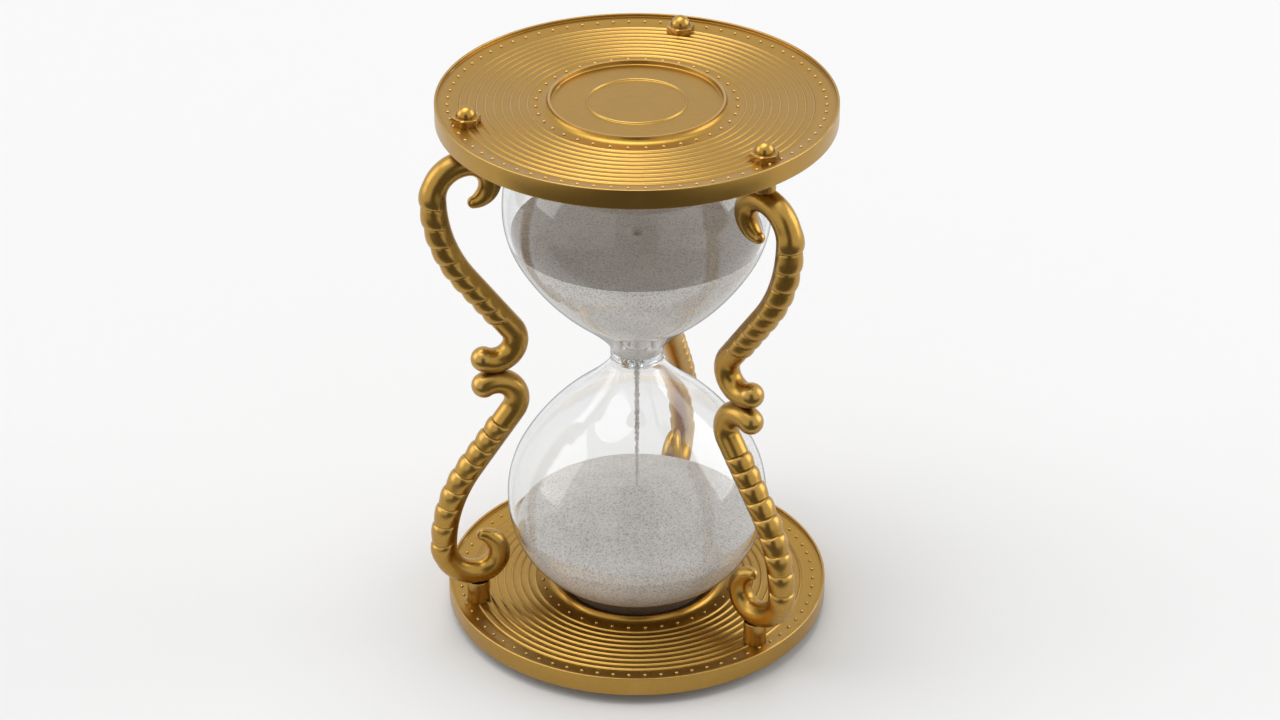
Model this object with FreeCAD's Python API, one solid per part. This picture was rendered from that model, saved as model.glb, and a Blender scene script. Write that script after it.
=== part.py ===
"""Brass-framed hourglass: two turned plates held apart by three pairs of cast scrolls.

Frame: millimetres, +Z up along the glass's axis. The origin is on that axis, in the plane
that the three lower cap nuts stand on. The first column stands 75 degrees round from +X.
The frame is a mirror image of itself about its middle plane, so the upper half's pieces are
the lower half's, mirrored.
"""

import FreeCAD, Part
import math
import os

from FreeCAD import Vector

# ---- Driving dimensions (mm) ----

# Plates
plate_radius = 62.5
frame_height = 180.9  # outer rim of one plate to outer rim of the other
plate_height = 6.4
rim_width = 1.7
rim_edge_round = 0.6
face_recess = 1.9  # from the rim down to the patterned face, on both sides
ridge_count = 9
outer_ridge_radius = 54.6
ridge_pitch = 2.6
ridge_width = 1.5
ridge_height = 0.5
ring_outer_radius = 27.5
ring_inner_radius = 26.7
ring_flare = 2.2
pan_depth = 1.5  # from the ring's crest, level with the rim, down to the pan's floor
pan_corner = 0.5
thin_ring_radius = 15.45
thin_ring_width = 0.9
thin_ring_height = 0.35

# Columns
column_count = 3
first_column_angle = 75.0
column_radius = 53.9
post_radius = 3.7
post_seat_height = 7.8  # from the plate's inner face to the scroll's seat
stud_radius = 2.0
spigot_radius = 1.5
spigot_length = 3.2

# Scrolls
tube_radius = 4.1
tip_radius = 2.0
curl_radius = 11.0
inner_curl_radius = 7.0
inner_curl_turn = 166.0
body_arc_radius = 50.0
hook_radius = 7.0
hook_inset = 7.1  # the hook's centre, inside the column's radius
hook_tip_angle = 59.0
hook_flat = 0.3
seat_cut = 0.8
taper_power = 6.0
taper_stations = 18
dowel_radius = 1.5
dowel_length = 8.0

# Cap nuts
nut_height = 5.6
nut_hex_height = 2.3
nut_across_flats = 8.0
nut_dome_radius = 3.0
nut_thread_depth = 4.4
nut_chamfer = 0.15

# Glass
glass_wall = 1.2
bulb_radius = 42.4
bulb_equator_height = 37.9  # above the plate's outer rim
bulb_base_arc = 32.4
bulb_shoulder_arc = 33.0
bulb_shoulder_turn = 29.7
bulb_cone_arc = 76.7
bulb_cone_angle = 59.3
neck_radius = 8.5
collar_height = 3.4
collar_wall = 1.9
orifice_thickness = 3.4
orifice_radius = 0.8

# Seat pads
pad_outer_radius = 24.5
pad_inner_radius = 17.0

# Sand
sand_line_height = 27.4  # where the heap meets the glass, above the lower plate's rim
heap_rise = 12.4
reserve_drop = 45.9  # the upper sand's level, below the upper plate's rim
crater_radius = 7.0
crater_depth = 2.4
stream_radius = 0.6

# ---- Clearances (mm) ----
hole_clearance = 0.15
spigot_clearance = 0.03
spot_face_clearance = 0.3
pad_clearance = 0.05
sand_clearance = 0.15
disc_clearance = 0.05

# ---- Sizes that follow ----
rim_base = nut_height - face_recess
mid_height = rim_base + frame_height / 2
total_height = 2 * mid_height
inner_face = rim_base + plate_height - face_recess
outer_face = rim_base + face_recess
pan_floor = rim_base + plate_height - pan_depth
seat_height = inner_face + post_seat_height
curl_bottom = seat_height + tube_radius - seat_cut
hex_corner_radius = nut_across_flats / math.sqrt(3)
spot_face_radius = max(hex_corner_radius, post_radius) + spot_face_clearance
equator_height = rim_base + bulb_equator_height
sand_line = rim_base + sand_line_height
heap_top = sand_line + heap_rise
reserve_level = total_height - rim_base - reserve_drop
column_angles = [first_column_angle + 360.0 / column_count * i for i in range(column_count)]

UP = Vector(0, 0, 1)
AXIS = Vector(0, 0, 0)


# ---- Helpers ----

def point(radius, height):
    """A point in the XZ half-plane that profiles are drawn in."""
    return Vector(radius, 0, height)


def on_arc(centre, radius, degrees):
    angle = math.radians(degrees)
    return centre + Vector(radius * math.cos(angle), 0, radius * math.sin(angle))


def arc(centre, radius, start, end):
    """An arc in the XZ plane, from one angle to another, in degrees."""
    middle = (start + end) / 2
    return Part.Arc(
        on_arc(centre, radius, start), on_arc(centre, radius, middle), on_arc(centre, radius, end)
    ).toShape()


def line(start, end):
    return Part.LineSegment(start, end).toShape()


def chain(points):
    """Straight edges through a list of points."""
    return [line(a, b) for a, b in zip(points, points[1:])]


def revolve(edges):
    """A solid turned about the Z axis from a closed outline."""
    face = Part.Face(Part.Wire(edges))
    return face.revolve(AXIS, UP, 360)


def cylinder(radius, low, high, x=0.0, y=0.0):
    return Part.makeCylinder(radius, high - low, Vector(x, y, low), UP)


def to_column(shape, angle):
    """Turn a shape built in the XZ plane round to its column."""
    turned = shape.copy()
    turned.rotate(AXIS, UP, angle)
    return turned


def flipped(shape):
    """The same piece in the other half of the frame."""
    return shape.mirror(Vector(0, 0, mid_height), UP)


# ---- Plates ----

def ridge(radius, width, height, face, outward):
    """One raised ring of half-round section on a face; outward is +1 or -1 along Z."""
    half = width / 2
    inner = point(radius - half, face)
    crest = point(radius, face + outward * height)
    outer = point(radius + half, face)
    return revolve([Part.Arc(inner, crest, outer).toShape(), line(outer, inner)])


def face_rings(face, floor, outward):
    """The concentric ridges of one side, and the thin ring in its pan."""
    rings = [
        ridge(outer_ridge_radius - i * ridge_pitch, ridge_width, ridge_height, face, outward)
        for i in range(ridge_count)
    ]
    rings.append(ridge(thin_ring_radius, thin_ring_width, thin_ring_height, floor, outward))
    return rings


def plate_side(face, crest, floor):
    """One side's outline points, from the axis out to the rim's inner foot."""
    return [
        point(0, floor),
        point(ring_inner_radius - pan_corner, floor),
        point(ring_inner_radius, crest),
        point(ring_outer_radius, crest),
    ], [
        point(ring_outer_radius + ring_flare, face),
        point(plate_radius - rim_width, face),
        point(plate_radius - rim_width, crest),
    ]


def flare(face, crest):
    """The central ring's hollow flank, from its crest out to the face."""
    rise = crest - face
    belly = point(ring_outer_radius + 0.3 * ring_flare, crest - 0.7 * rise)
    return Part.Arc(
        point(ring_outer_radius, crest), belly, point(ring_outer_radius + ring_flare, face)
    ).toShape()


def lower_plate():
    low, high = rim_base, rim_base + plate_height
    under_pan, under_face = plate_side(outer_face, low, low + pan_depth)
    over_pan, over_face = plate_side(inner_face, high, pan_floor)
    corner = rim_edge_round
    edges = chain(under_pan) + [flare(outer_face, low)] + chain(under_face)
    edges += [
        line(under_face[-1], point(plate_radius - corner, low)),
        arc(point(plate_radius - corner, low + corner), corner, -90, 0),
        line(point(plate_radius, low + corner), point(plate_radius, high - corner)),
        arc(point(plate_radius - corner, high - corner), corner, 0, 90),
        line(point(plate_radius - corner, high), over_face[-1]),
    ]
    edges += chain(over_face[::-1]) + [flare(inner_face, high)] + chain(over_pan[::-1])
    edges.append(line(over_pan[0], under_pan[0]))
    rings = face_rings(outer_face, low + pan_depth, -1) + face_rings(inner_face, pan_floor, 1)
    plate = revolve(edges).multiFuse(rings)
    cuts = []
    for angle in column_angles:
        column = [
            cylinder(stud_radius + hole_clearance, low - 1, high + 1, column_radius),
            cylinder(spot_face_radius, inner_face, high + 1, column_radius),
            cylinder(spot_face_radius, low - 1, outer_face, column_radius),
        ]
        cuts += [to_column(shape, angle) for shape in column]
    return plate.cut(cuts)


# ---- Columns ----

def scroll_geometry():
    """Centres and tangent angle of the lower scroll's arcs, in the XZ plane."""
    curl = point(column_radius, curl_bottom + curl_radius)
    inner_curl = point(column_radius, curl_bottom + inner_curl_radius)
    body = point(column_radius + curl_radius - body_arc_radius, curl.z)
    hook = point(column_radius - hook_inset, mid_height - hook_radius - tube_radius + hook_flat)
    between = hook - body
    lean = math.degrees(math.atan2(between.z, between.x))
    tangent = lean - math.degrees(math.acos((body_arc_radius + hook_radius) / between.Length))
    return curl, inner_curl, body, hook, tangent


def circle_at(centre, direction, radius):
    return Part.Wire(Part.makeCircle(radius, centre, direction))


def scroll_body():
    """The part of the scroll with a constant section: hook, straight run and long arc."""
    curl, inner_curl, body, hook, tangent = scroll_geometry()
    path = Part.Wire([
        arc(hook, hook_radius, hook_tip_angle, 180 + tangent),
        line(on_arc(hook, hook_radius, 180 + tangent), on_arc(body, body_arc_radius, tangent)),
        arc(body, body_arc_radius, tangent, 0),
    ])
    start = on_arc(hook, hook_radius, hook_tip_angle)
    heading = math.radians(hook_tip_angle + 90)
    section = circle_at(start, Vector(math.cos(heading), 0, math.sin(heading)), tube_radius)
    tube = path.makePipeShell([section], True, True)
    return tube.fuse(Part.makeSphere(tube_radius, start))


def taper(share):
    """The curl's tube radius, at a share of the way from the body to the tip."""
    return tip_radius + (tube_radius - tip_radius) * (1 - share ** taper_power)


def scroll_curl():
    """The tapering curl: a quarter turn, then a tighter one that ends in a round tip."""
    curl, inner_curl, body, hook, tangent = scroll_geometry()
    first_length = curl_radius * math.pi / 2
    second_length = inner_curl_radius * math.radians(inner_curl_turn)
    sections = []
    for i in range(taper_stations + 1):
        share = i / taper_stations
        travelled = share * (first_length + second_length)
        if travelled <= first_length:
            angle = -math.degrees(travelled / curl_radius)
            centre = on_arc(curl, curl_radius, angle)
        else:
            angle = -90 - math.degrees((travelled - first_length) / inner_curl_radius)
            centre = on_arc(inner_curl, inner_curl_radius, angle)
        heading = math.radians(angle - 90)
        direction = Vector(math.cos(heading), 0, math.sin(heading))
        sections.append(circle_at(centre, direction, taper(share)))
    tip = on_arc(inner_curl, inner_curl_radius, -90 - inner_curl_turn)
    return Part.makeLoft(sections, True, False).fuse(Part.makeSphere(tip_radius, tip))


def dowel_place():
    """The radius at which the two hooks of a column touch."""
    return column_radius - hook_inset


def lower_scroll():
    scroll = scroll_body().fuse(scroll_curl())
    bore = spigot_radius + spigot_clearance
    dowel_bore = dowel_radius + spigot_clearance
    reach = 2 * tube_radius
    scroll = scroll.cut([
        cylinder(spot_face_radius, seat_height - reach, seat_height, column_radius),
        cylinder(bore, seat_height - 1, seat_height + spigot_length, column_radius),
        cylinder(reach, mid_height, mid_height + reach, dowel_place()),
        cylinder(dowel_bore, mid_height - dowel_length / 2, mid_height + 1, dowel_place()),
    ])
    return scroll.removeSplitter()


def lower_post():
    """Spacer between plate and scroll, with a stud through the plate and a spigot above."""
    stud_end = outer_face - nut_thread_depth + 2 * hole_clearance
    post = cylinder(post_radius, inner_face, seat_height, column_radius)
    stud = cylinder(stud_radius, stud_end, inner_face, column_radius)
    spigot = cylinder(spigot_radius, seat_height, seat_height + spigot_length, column_radius)
    return post.fuse([stud, spigot])


def scroll_dowel():
    half = dowel_length / 2
    return cylinder(dowel_radius, mid_height - half, mid_height + half, dowel_place())


def lower_nut():
    """Domed cap nut: a chamfered hexagon with a round dome, drilled blind for the stud."""
    corners = [
        Vector(column_radius, 0, outer_face - nut_hex_height)
        + Vector(math.cos(math.radians(60 * i)), math.sin(math.radians(60 * i)), 0) * hex_corner_radius
        for i in range(7)
    ]
    hexagon = Part.Face(Part.makePolygon(corners)).extrude(UP * nut_hex_height)
    cone_low = hex_corner_radius - nut_chamfer
    cone_high = cone_low + nut_hex_height * 2
    chamfer = Part.makeCone(
        cone_low, cone_high, nut_hex_height, Vector(column_radius, 0, outer_face - nut_hex_height), UP
    )
    dome_centre = outer_face - nut_height + nut_dome_radius
    dome = Part.makeSphere(nut_dome_radius, Vector(column_radius, 0, dome_centre))
    neck = cylinder(nut_dome_radius, dome_centre, outer_face - nut_chamfer, column_radius)
    nut = hexagon.common(chamfer).fuse([dome, neck])
    bore = cylinder(
        stud_radius + spigot_clearance, outer_face - nut_thread_depth, outer_face + 1, column_radius
    )
    return nut.cut(bore)


# ---- Glass ----

def bulb_arcs(inset):
    """Edges of the lower bulb's outline from its pole to its neck, moved inwards by inset."""
    base = point(bulb_radius - bulb_base_arc, equator_height)
    shoulder = point(bulb_radius - bulb_shoulder_arc, equator_height)
    cone = on_arc(shoulder, bulb_shoulder_arc - bulb_cone_arc, bulb_shoulder_turn)
    cone_end = on_arc(cone, bulb_cone_arc, bulb_cone_angle)
    throat_arc = (cone_end.x - neck_radius) / (1 - math.cos(math.radians(bulb_cone_angle)))
    throat = on_arc(cone_end, throat_arc, bulb_cone_angle)
    pole = point(0, equator_height - bulb_base_arc + inset)
    return [
        line(pole, point(base.x, pole.z)),
        arc(base, bulb_base_arc - inset, -90, 0),
        arc(shoulder, bulb_shoulder_arc - inset, 0, bulb_shoulder_turn),
        arc(cone, bulb_cone_arc - inset, bulb_shoulder_turn, bulb_cone_angle),
        arc(throat, throat_arc + inset, 180 + bulb_cone_angle, 180),
        line(on_arc(throat, throat_arc + inset, 180), point(neck_radius - inset, mid_height)),
    ]


def bulb_filling(inset):
    """A solid that fills the lower bulb's outline up to the middle plane."""
    edges = bulb_arcs(inset)
    top = point(0, mid_height)
    edges.append(line(point(neck_radius - inset, mid_height), top))
    edges.append(line(top, point(0, equator_height - bulb_base_arc + inset)))
    return revolve(edges)


def lower_bulb():
    glass = bulb_filling(0).cut(bulb_filling(glass_wall))
    return glass.cut(cylinder(bulb_radius, mid_height - collar_height / 2, mid_height + 1))


def neck_collar():
    half = collar_height / 2
    ring = cylinder(neck_radius, mid_height - half, mid_height + half)
    return ring.cut(cylinder(neck_radius - collar_wall, mid_height - half, mid_height + half))


def orifice_disc():
    half = orifice_thickness / 2
    disc = cylinder(neck_radius - collar_wall - disc_clearance, mid_height - half, mid_height + half)
    return disc.cut(cylinder(orifice_radius, mid_height - half, mid_height + half))


def lower_seat_pad():
    """A soft ring on the pan's floor, dished to the bulb's base."""
    pad = cylinder(pad_outer_radius, pan_floor, equator_height)
    pad = pad.cut(cylinder(pad_inner_radius, pan_floor, equator_height))
    return pad.cut(bulb_filling(-pad_clearance))


# ---- Sand ----

def sand_lower():
    """The heap: it fills the lower bulb up to a cone with a small flat top."""
    heap = cylinder(bulb_radius, 0, sand_line)
    cone = Part.makeCone(bulb_radius, stream_radius, heap_rise, Vector(0, 0, sand_line), UP)
    return bulb_filling(glass_wall + sand_clearance).common(heap.fuse(cone))


def sand_upper():
    """The reserve: it stands on the orifice disc, with a crater over the hole."""
    floor = mid_height + orifice_thickness / 2
    neck = cylinder(neck_radius - collar_wall - sand_clearance, floor, mid_height + collar_height)
    filling = flipped(bulb_filling(glass_wall + sand_clearance))
    sand = filling.common(cylinder(bulb_radius, mid_height + collar_height / 2, reserve_level)).fuse(neck)
    bottom = Vector(0, 0, reserve_level - crater_depth)
    crater = Part.makeCone(0, crater_radius, crater_depth, bottom, UP)
    return sand.cut(crater)


def sand_stream():
    return cylinder(stream_radius, heap_top, mid_height + orifice_thickness / 2)


# ---- Build ----

def build():
    """Every piece by name."""
    plate = lower_plate()
    bulb = lower_bulb()
    pad = lower_seat_pad()
    pieces = {
        "base_plate": plate,
        "top_plate": flipped(plate),
        "lower_bulb": bulb,
        "upper_bulb": flipped(bulb),
        "neck_collar": neck_collar(),
        "orifice_disc": orifice_disc(),
        "lower_seat_pad": pad,
        "upper_seat_pad": flipped(pad),
        "sand_lower": sand_lower(),
        "sand_upper": sand_upper(),
        "sand_stream": sand_stream(),
    }
    column = {"scroll": lower_scroll(), "post": lower_post()}
    nut = lower_nut()
    dowel = scroll_dowel()
    for number, angle in enumerate(column_angles, start=1):
        for name, shape in column.items():
            pieces[f"lower_{name}_{number}"] = to_column(shape, angle)
            pieces[f"upper_{name}_{number}"] = to_column(flipped(shape), angle)
        pieces[f"bottom_cap_nut_{number}"] = to_column(nut, angle)
        pieces[f"top_cap_nut_{number}"] = to_column(flipped(nut), angle)
        pieces[f"scroll_dowel_{number}"] = to_column(dowel, angle)
    return pieces


def main():
    os.makedirs("parts", exist_ok=True)
    for name, shape in build().items():
        for solid in shape.Solids:
            if not solid.isValid():
                print("invalid solid in", name)
        print(f"{name}: {len(shape.Solids)} solid, {shape.Volume:.1f} mm3")
        shape.exportStep(f"parts/{name}.step")


main()
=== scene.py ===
"""Looks of a brass-framed hourglass, built round its packed construction.

Everything is in metres. The glass's axis is Z, and the object stands on its three lower cap nuts at Z = 0.
The upper half of the frame is the lower half, mirrored about its middle plane.
"""

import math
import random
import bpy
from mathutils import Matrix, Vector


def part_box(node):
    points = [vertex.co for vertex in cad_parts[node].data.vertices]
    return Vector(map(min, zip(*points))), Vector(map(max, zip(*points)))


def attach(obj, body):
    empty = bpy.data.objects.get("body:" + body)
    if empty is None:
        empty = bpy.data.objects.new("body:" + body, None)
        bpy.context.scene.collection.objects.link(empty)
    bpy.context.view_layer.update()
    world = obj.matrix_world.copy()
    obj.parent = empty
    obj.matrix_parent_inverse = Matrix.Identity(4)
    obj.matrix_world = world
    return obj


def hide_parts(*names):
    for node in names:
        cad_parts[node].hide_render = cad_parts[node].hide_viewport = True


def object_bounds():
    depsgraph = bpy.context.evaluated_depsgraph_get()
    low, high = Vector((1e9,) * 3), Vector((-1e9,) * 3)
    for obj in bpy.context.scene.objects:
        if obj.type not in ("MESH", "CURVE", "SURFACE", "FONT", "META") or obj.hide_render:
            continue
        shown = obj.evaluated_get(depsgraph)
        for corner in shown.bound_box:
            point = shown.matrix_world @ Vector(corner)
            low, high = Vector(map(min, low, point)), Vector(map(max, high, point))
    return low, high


bl_info = {
    "name": "Brass hourglass",
    "version": (1, 0, 0),
    "blender": (4, 5, 0),
    "location": "3D View > Sidebar > Hourglass",
    "description": "Turned plates, scaled scrolls, cap nuts, blown glass and sand of an hourglass",
    "category": "Add Mesh",
}

import bpy
from bpy.props import FloatProperty, FloatVectorProperty, IntProperty, PointerProperty
from mathutils import Matrix, Vector

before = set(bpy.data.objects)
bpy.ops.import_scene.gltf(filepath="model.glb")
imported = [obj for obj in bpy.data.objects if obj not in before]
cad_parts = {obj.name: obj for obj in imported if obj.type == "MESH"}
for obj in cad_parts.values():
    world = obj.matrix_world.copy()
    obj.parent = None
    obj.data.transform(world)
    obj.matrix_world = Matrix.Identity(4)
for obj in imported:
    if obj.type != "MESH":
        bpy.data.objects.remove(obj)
CAD_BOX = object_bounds()

MM = 0.001
BODY = "root"
PLATE_LOW, PLATE_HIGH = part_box("base_plate")
MID_HEIGHT = (CAD_BOX[0].z + CAD_BOX[1].z) / 2
POST_LOW, POST_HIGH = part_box("lower_post_1")


def column_places():
    """Each column's angle, and the radius that they all stand at, from the top cap nuts."""
    angles = []
    for number in (1, 2, 3):
        low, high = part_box(f"top_cap_nut_{number}")
        middle = (low + high) / 2
        angles.append(math.atan2(middle.y, middle.x))
    return angles, math.hypot(middle.x, middle.y)


COLUMN_ANGLES, COLUMN_RADIUS = column_places()


# ---- Sizes and colours ----

def length(name, description, millimetres):
    return FloatProperty(
        name=name, description=description, default=millimetres * MM, min=0, unit="LENGTH", precision=5
    )


def turn(name, description, degrees):
    return FloatProperty(
        name=name, description=description, default=math.radians(degrees), subtype="ANGLE"
    )


def amount(name, description, value):
    return FloatProperty(name=name, description=description, default=value)


def count(name, description, value):
    return IntProperty(name=name, description=description, default=value, min=1)


def colour(name, description, value):
    return FloatVectorProperty(
        name=name, description=description, default=value, size=3, min=0, max=1, subtype="COLOR"
    )


class PlateSizes(bpy.types.PropertyGroup):
    """The two turned plates."""

    radius: length("Radius", "Outside of the rim", PLATE_HIGH.x / MM)
    rim_width: length("Rim width", "Width of the raised lip", 0.8)
    rim_round: length("Rim round", "Round on the rim's outer edges", 0.35)
    lip_round: length("Lip round", "Round on the rim's inner edge", 0.25)
    recess: length("Recess", "From the rim down to the patterned face", 1.9)
    ridge_count: count("Ridges", "Concentric ridges on each face", 9)
    ridge_radius: length("Ridge radius", "Crest of the outermost ridge", 54.6)
    ridge_pitch: length("Ridge pitch", "From one crest to the next", 2.6)
    ridge_width: length("Ridge width", "Across one ridge's feet", 1.15)
    ridge_height: length("Ridge height", "Height of a ridge's crest", 0.4)
    band_start: length("Band start", "Where the face begins to rise towards the rim", 55.9)
    band_end: length("Band end", "Where the risen band is level again", 60.0)
    band_rise: length("Band rise", "How far the band beside the rim rises", 0.85)
    ring_outer: length("Ring outside", "Outer edge of the central ring's crest", 27.5)
    ring_inner: length("Ring inside", "Inner edge of the central ring's crest", 26.7)
    ring_flare: length("Ring flare", "Width of the central ring's hollow flank", 2.2)
    pan_depth: length("Pan depth", "From the ring's crest down to the pan's floor", 1.5)
    pan_corner: length("Pan corner", "Round where the pan's floor meets its wall", 0.5)
    thin_ring_radius: length("Thin ring radius", "Crest of the thin ring in the pan", 15.45)
    thin_ring_width: length("Thin ring width", "Across the thin ring's feet", 1.0)
    thin_ring_height: length("Thin ring height", "Height of the thin ring", 0.5)
    outer_beads: count("Outer beads", "Beads in the row beside the rim", 72)
    outer_bead_circle: length("Outer bead circle", "Radius of the row beside the rim", 58.5)
    inner_beads: count("Inner beads", "Beads in the row beside the central ring", 36)
    inner_bead_circle: length("Inner bead circle", "Radius of the row beside the central ring", 31.2)
    bead_radius: length("Bead radius", "Radius of one bead", 0.56)
    bead_height: length("Bead height", "How far a bead stands up", 0.52)


class ColumnSizes(bpy.types.PropertyGroup):
    """The scrolls and posts."""

    post_radius: length("Post radius", "The spacer between plate and scroll", 3.7)
    post_round: length("Post round", "Round on the post's edges", 0.3)
    seat_above_face: length("Seat height", "From the plate's face to the scroll's seat", 7.8)
    stud_radius: length("Stud radius", "The stud through the plate", 2.0)
    spigot_radius: length("Spigot radius", "The pin that enters the scroll", 1.5)
    tube_radius: length("Tube radius", "The scroll's bar", 4.1)
    tip_radius: length("Tip radius", "The curl's round tip", 2.0)
    curl_radius: length("Curl radius", "First quarter of the curl", 11.0)
    inner_curl_radius: length("Inner curl radius", "The rest of the curl", 7.0)
    inner_curl_turn: turn("Inner curl turn", "How far the inner curl turns", 166)
    body_radius: length("Body radius", "The long arc of the body", 50.0)
    hook_radius: length("Hook radius", "The hook's arc", 7.0)
    hook_inset: length("Hook inset", "The hook's centre, inside the columns' circle", 7.1)
    hook_tip: turn("Hook tip", "Where the hook's arc ends", 59)
    hook_flat: length("Hook flat", "Taken off where two hooks meet", 0.3)
    seat_cut: length("Seat cut", "Taken off the curl where it stands on its post", 0.8)
    taper_power: amount("Taper power", "How late the curl narrows", 6.0)
    scales: count("Scales", "Overlapping scales on each scroll", 9)
    first_joint: length("First joint", "From the body's upright end to the first scale's lip", 2.0)
    last_joint: length("Last joint", "From the body's upright end to the last scale's lip", 49.4)
    first_scale: length("First scale", "Length of the longest scale, beside the curl", 6.6)
    last_scale: length("Last scale", "Length of the shortest scale, beside the hook", 4.6)
    scale_lip: length("Scale lip", "How far a scale swells off the bar", 0.5)
    scale_groove: length("Scale groove", "Depth of the groove between two scales", 0.16)
    scale_cover: turn("Scale cover", "Half of the angle that the scales cover", 108)
    scale_fade: turn("Scale fade", "Over which the scales end beside the plain strip", 14)
    scale_lean: amount("Scale lean", "Above 1, a scale is fullest nearer its hook end", 1.7)
    scale_hook: length("Scale hook", "How far a lip's ends run on towards the hook", 1.1)
    bore_gap: length("Bore gap", "Clearance round a pin", 0.03)
    dowel_radius: length("Dowel radius", "The pin between two hooks", 1.5)
    dowel_length: length("Dowel length", "The pin between two hooks", 8.0)


class NutSizes(bpy.types.PropertyGroup):
    """The domed cap nuts."""

    height: length("Height", "From the plate's face to the top of the dome", 5.6)
    hex_height: length("Hexagon height", "Height of the hexagon", 2.3)
    across_flats: length("Across flats", "Between two opposite flats", 8.0)
    dome_radius: length("Dome radius", "The round cap", 3.1)
    chamfer: length("Chamfer", "Turned off the hexagon's corners", 0.15)
    edge_round: length("Edge round", "Softening of the milled edges", 0.1)
    bore_radius: length("Bore radius", "The thread's hole", 2.03)
    bore_depth: length("Bore depth", "Depth of the thread's hole", 4.4)


class GlassSizes(bpy.types.PropertyGroup):
    """The blown bulbs, what joins them and what they sit on."""

    wall: length("Wall", "Thickness of the bulbs", 1.2)
    bulb_radius: length("Bulb radius", "At the widest", 42.4)
    equator_above_rim: length("Equator height", "Widest point, above the plate's outer rim", 37.9)
    base_arc: length("Base arc", "Round of the bulb's base", 32.4)
    base_fullness: amount("Base fullness", "2 is a plain arc, and more is a fuller base", 2.14)
    shoulder_arc: length("Shoulder arc", "First arc above the widest point", 33.0)
    shoulder_turn: turn("Shoulder turn", "Where the first arc ends", 29.7)
    cone_arc: length("Cone arc", "Second arc, towards the neck", 76.7)
    cone_turn: turn("Cone turn", "Where the second arc ends and the throat begins", 50.0)
    neck_radius: length("Neck radius", "Outside of the neck", 8.5)
    collar_height: length("Collar height", "The clear ring between the bulbs", 3.4)
    collar_wall: length("Collar wall", "Thickness of the clear ring, and of the bulbs at the neck", 2.5)
    fuse_gap: length("Fuse gap", "Left between two fused glass pieces", 0.04)
    disc_height: length("Disc height", "Thickness of the orifice disc", 3.4)
    orifice_radius: length("Orifice radius", "The hole that sets the flow", 1.3)
    pad_outer: length("Pad outside", "Outer radius of the felt seat", 24.5)
    pad_inner: length("Pad inside", "Inner radius of the felt seat", 17.0)


class SandSizes(bpy.types.PropertyGroup):
    """The heap, the reserve and the stream."""

    contact: length("Contact", "How far the sand presses into the glass's inside", 0.12)
    line_above_rim: length("Sand line", "Where the heap meets the glass, above the plate's rim", 27.4)
    heap_rise: length("Heap rise", "From the sand line to the heap's top", 12.4)
    reserve_drop: length("Reserve drop", "From the upper plate's rim to the reserve's level", 45.9)
    crater_radius: length("Crater radius", "The hollow over the orifice", 8.5)
    crater_depth: length("Crater depth", "The hollow over the orifice", 4.2)
    pit_radius: length("Pit radius", "The steep middle of the hollow", 1.9)
    stream_radius: length("Stream radius", "The falling sand", 0.78)


class Finishes(bpy.types.PropertyGroup):
    """Colours of the materials."""

    brass: colour("Brass", "Satin brass where it is clean", (0.433, 0.248, 0.049))
    # Brass shade colours the painted shade in recesses, and the random darker patches.
    brass_shade: colour("Brass shade", "Brass in its recesses", (0.20, 0.124, 0.042))
    brass_wear: colour("Brass wear", "Rubbed edges", (0.62, 0.415, 0.16))
    steel: colour("Steel", "The dowels", (0.56, 0.56, 0.57))
    glass: colour("Glass", "The clear glass", (0.985, 0.99, 0.99))
    # The felt's dark tone is partly painted shade: it stands in for the shadow in the gap under each bulb.
    felt: colour("Felt", "The seats under the bulbs", (0.10, 0.062, 0.030))
    sand: colour("Sand", "Most of its grains", (0.80, 0.77, 0.735))
    sand_dark: colour("Dark grains", "The rest of its grains", (0.27, 0.24, 0.21))
    floor: colour("Floor", "The plain pale floor", (0.80, 0.80, 0.80))


class StageSettings(bpy.types.PropertyGroup):
    """The camera, lamps and floor."""

    camera_distance: length("Camera distance", "In front of the glass's axis", 970.4)
    camera_height: length("Camera height", "Above the floor", 654.3)
    camera_tilt: turn("Camera tilt", "From looking straight down", 59.8655)
    focal_length: amount("Focal length", "In millimetres on a 36 mm sensor", 98.19)
    shift: amount("Shift", "Sideways shift of the lens", 0.0024)
    sky: amount("Sky", "Strength of the even light all round", 0.45)
    sky_seen: amount("Sky seen", "Strength of the white surroundings as seen and mirrored", 0.94)
    key: amount("Key", "Strength of the main light", 1.0)
    key_spread: turn("Key spread", "Softness of the main light", 52)
    left_power: amount("Left box", "Power of the left light, in watts", 58.0)
    right_power: amount("Right box", "Power of the right light, in watts", 80.0)
    top_power: amount("Top box", "Power of the light overhead, in watts", 62.0)


# ---- Drawing outlines ----

def on_arc(centre, radius, angle):
    """The point (across, up) on an arc, at an angle in radians."""
    return Vector((centre[0] + radius * math.cos(angle), centre[1] + radius * math.sin(angle)))


def arc_points(centre, radius, start, end, steps):
    return [on_arc(centre, radius, start + (end - start) * i / steps) for i in range(steps + 1)]


def curve_points(start, pull, end, steps):
    """Points along a soft bend from start to end, drawn towards pull."""
    start, pull, end = Vector(start), Vector(pull), Vector(end)
    shares = [i / steps for i in range(steps + 1)]
    return [start * (1 - t) ** 2 + pull * (2 * t * (1 - t)) + end * t ** 2 for t in shares]


def rounded(corners, steps=4):
    """An outline through corners (across, up, round), with each corner softened by its round."""
    points = []
    last = len(corners) - 1
    for i, (across, up, size) in enumerate(corners):
        corner = Vector((across, up))
        if size == 0 or i in (0, last):
            points.append(corner)
            continue
        before = (Vector(corners[i - 1][:2]) - corner).normalized() * size
        after = (Vector(corners[i + 1][:2]) - corner).normalized() * size
        points += curve_points(corner + before, corner, corner + after, steps)
    return points


def level_run(start, end, height, steps):
    """Evenly spaced points along a level stretch."""
    return [Vector((start + (end - start) * i / steps, height)) for i in range(steps + 1)]


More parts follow.
